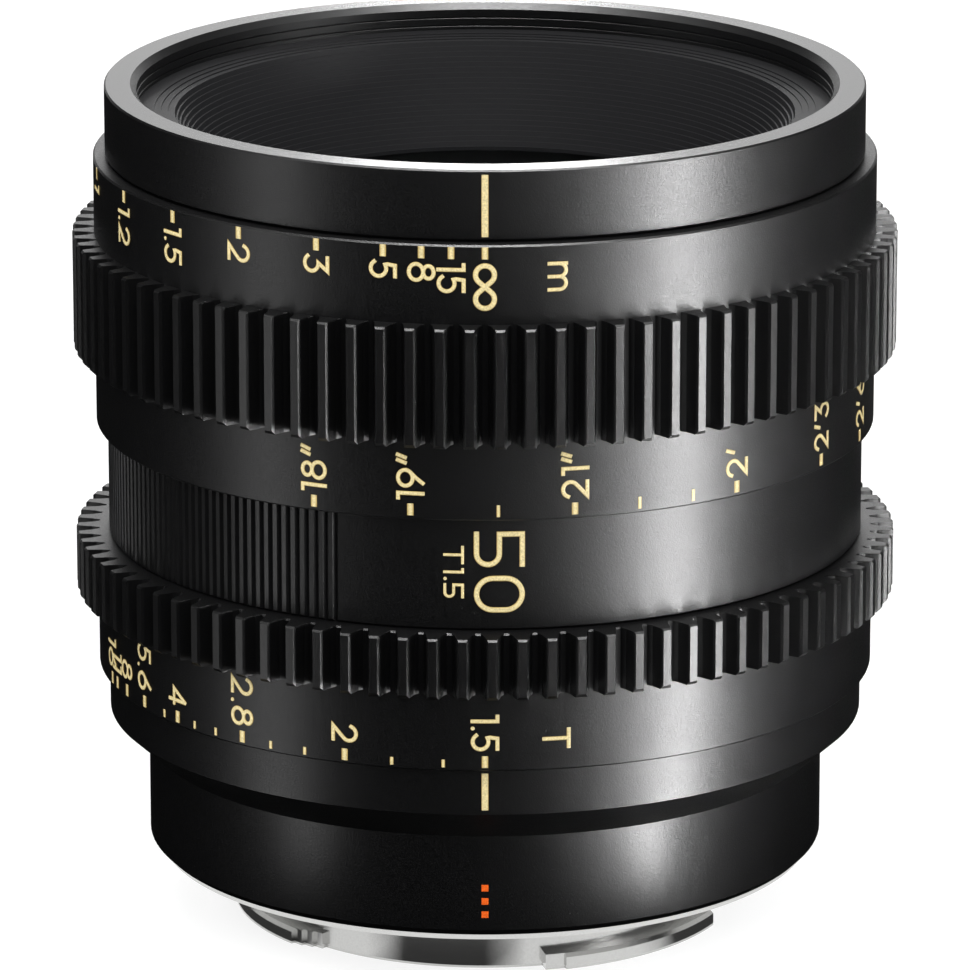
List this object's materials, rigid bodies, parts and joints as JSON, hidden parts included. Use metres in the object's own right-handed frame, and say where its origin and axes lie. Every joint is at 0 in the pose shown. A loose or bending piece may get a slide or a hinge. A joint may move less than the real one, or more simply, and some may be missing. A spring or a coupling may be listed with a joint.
{
  "type": "cinema prime lens",
  "caption": "Full-frame cinema prime lens with geared focus and iris rings, sliding lens group, bladed iris and bayonet mount",
  "frame": {"origin": "centre of the rear face of the mount flange, on the optical axis", "axes": "+Z along the optical axis to the front of the lens; -Y is the side with the focal length and the orange mount squares; +X is to the right when that side faces the viewer and the front is up"},
  "size_m": [0.0728, 0.0728, 0.0752],
  "materials": {
    "anodised_black": "satin black anodised aluminium",
    "ring_black": "satin black anodised aluminium",
    "hood_black": "matte black anodised",
    "inner_black": "matte black anodised",
    "sleeve_brass": "turned brass",
    "mount_chrome": "hard chrome on brass",
    "screw_steel": "turned steel",
    "bar_steel": "ground steel",
    "blade_black": "blackened spring steel",
    "collar_brass": "turned brass",
    "washer_white": "low-friction plastic",
    "index_gold": "paint-filled engraving",
    "index_orange": "paint-filled engraving",
    "coated_glass": "polished and coated"
  },
  "bodies": {
    "barrel": {"bayonet_mount": "mount_chrome", "mount_screws": "screw_steel", "rear_light_baffle": "hood_black", "mount_shell": "anodised_black", "mount_index_squares": "index_orange", "shell_screws": "screw_steel", "rear_barrel": "anodised_black", "rear_index_line": "index_gold", "guide_barrel": "inner_black", "mid_barrel": "anodised_black", "front_ring": "anodised_black", "front_index_line": "index_gold", "hood_baffle": "hood_black", "front_slip_washer": "washer_white", "rear_slip_washer": "washer_white", "iris_slip_washer": "washer_white", "focus_stop_screw": "screw_steel", "iris_stop_screw": "screw_steel"},
    "focus_control": {"focus_ring": "ring_black", "focus_cam_sleeve": "sleeve_brass", "focus_lock_screws": "screw_steel"},
    "iris_control": {"iris_ring": "ring_black", "iris_drive_bar": "bar_steel"},
    "lens_group": {"lens_carrier": "inner_black", "guide_collars": "collar_brass", "cam_collars": "collar_brass", "collar_screws": "screw_steel", "front_cell": "inner_black", "front_retaining_ring": "inner_black", "front_element": "coated_glass", "second_element": "coated_glass", "third_element": "coated_glass", "inner_retaining_ring": "inner_black", "rear_cell": "inner_black", "fourth_element": "coated_glass", "fifth_element": "coated_glass", "spacer_ring": "inner_black", "sixth_element": "coated_glass", "rear_spacer_ring": "inner_black", "seventh_element": "coated_glass", "rear_retaining_ring": "inner_black", "iris_pivot_plate": "inner_black"},
    "rotor": {"iris_rotor": "bar_steel"},
    "blade_1": {"iris_blade_1": "blade_black"},
    "blade_2": {"iris_blade_2": "blade_black"},
    "blade_3": {"iris_blade_3": "blade_black"},
    "blade_4": {"iris_blade_4": "blade_black"},
    "blade_5": {"iris_blade_5": "blade_black"},
    "blade_6": {"iris_blade_6": "blade_black"},
    "blade_7": {"iris_blade_7": "blade_black"},
    "blade_8": {"iris_blade_8": "blade_black"},
    "blade_9": {"iris_blade_9": "blade_black"}
  },
  "joints": [
    {"name": "focus_turn", "type": "hinge", "parent": "barrel", "child": "focus_control", "pos_m": [0, 0, 0], "axis": [0, 0, 1], "range_deg": [0, 208.4]},
    {"name": "iris_turn", "type": "hinge", "parent": "barrel", "child": "iris_control", "pos_m": [0, 0, 0], "axis": [0, 0, 1], "range_deg": [0, 73]},
    {"name": "lens_slide", "type": "slide", "parent": "barrel", "child": "lens_group", "axis": [0, 0, 1], "range_m": [0, 0.0073]},
    {"name": "rotor_turn", "type": "hinge", "parent": "lens_group", "child": "rotor", "pos_m": [0, 0, 0.0257], "axis": [0, 0, 1], "range_deg": [0, 73.01]},
    {"name": "blade_1_swing", "type": "hinge", "parent": "lens_group", "child": "blade_1", "pos_m": [0.021, 0, 0.0275], "axis": [0, 0, 1], "range_deg": [0, 34.01]},
    {"name": "blade_2_swing", "type": "hinge", "parent": "lens_group", "child": "blade_2", "pos_m": [0.01609, 0.0135, 0.0275], "axis": [0, 0, 1], "range_deg": [0, 34.01]},
    {"name": "blade_3_swing", "type": "hinge", "parent": "lens_group", "child": "blade_3", "pos_m": [0.00365, 0.02068, 0.0275], "axis": [0, 0, 1], "range_deg": [0, 34.01]},
    {"name": "blade_4_swing", "type": "hinge", "parent": "lens_group", "child": "blade_4", "pos_m": [-0.0105, 0.01819, 0.0275], "axis": [0, 0, 1], "range_deg": [0, 34.01]},
    {"name": "blade_5_swing", "type": "hinge", "parent": "lens_group", "child": "blade_5", "pos_m": [-0.01973, 0.00718, 0.0275], "axis": [0, 0, 1], "range_deg": [0, 34.01]},
    {"name": "blade_6_swing", "type": "hinge", "parent": "lens_group", "child": "blade_6", "pos_m": [-0.01973, -0.00718, 0.0275], "axis": [0, 0, 1], "range_deg": [0, 34.01]},
    {"name": "blade_7_swing", "type": "hinge", "parent": "lens_group", "child": "blade_7", "pos_m": [-0.0105, -0.01819, 0.0275], "axis": [0, 0, 1], "range_deg": [0, 34.01]},
    {"name": "blade_8_swing", "type": "hinge", "parent": "lens_group", "child": "blade_8", "pos_m": [0.00365, -0.02068, 0.0275], "axis": [0, 0, 1], "range_deg": [0, 34.01]},
    {"name": "blade_9_swing", "type": "hinge", "parent": "lens_group", "child": "blade_9", "pos_m": [0.01609, -0.0135, 0.0275], "axis": [0, 0, 1], "range_deg": [0, 34.01]}
  ],
  "couplings": [
    {"joint": "lens_slide", "follows": "focus_turn", "m_per_rad": 0.0020054},
    {"joint": "rotor_turn", "follows": "iris_turn", "ratio": 1},
    {"joint": "blade_1_swing", "follows": "iris_turn", "ratio": 0.46575},
    {"joint": "blade_2_swing", "follows": "iris_turn", "ratio": 0.46575},
    {"joint": "blade_3_swing", "follows": "iris_turn", "ratio": 0.46575},
    {"joint": "blade_4_swing", "follows": "iris_turn", "ratio": 0.46575},
    {"joint": "blade_5_swing", "follows": "iris_turn", "ratio": 0.46575},
    {"joint": "blade_6_swing", "follows": "iris_turn", "ratio": 0.46575},
    {"joint": "blade_7_swing", "follows": "iris_turn", "ratio": 0.46575},
    {"joint": "blade_8_swing", "follows": "iris_turn", "ratio": 0.46575},
    {"joint": "blade_9_swing", "follows": "iris_turn", "ratio": 0.46575}
  ]
}
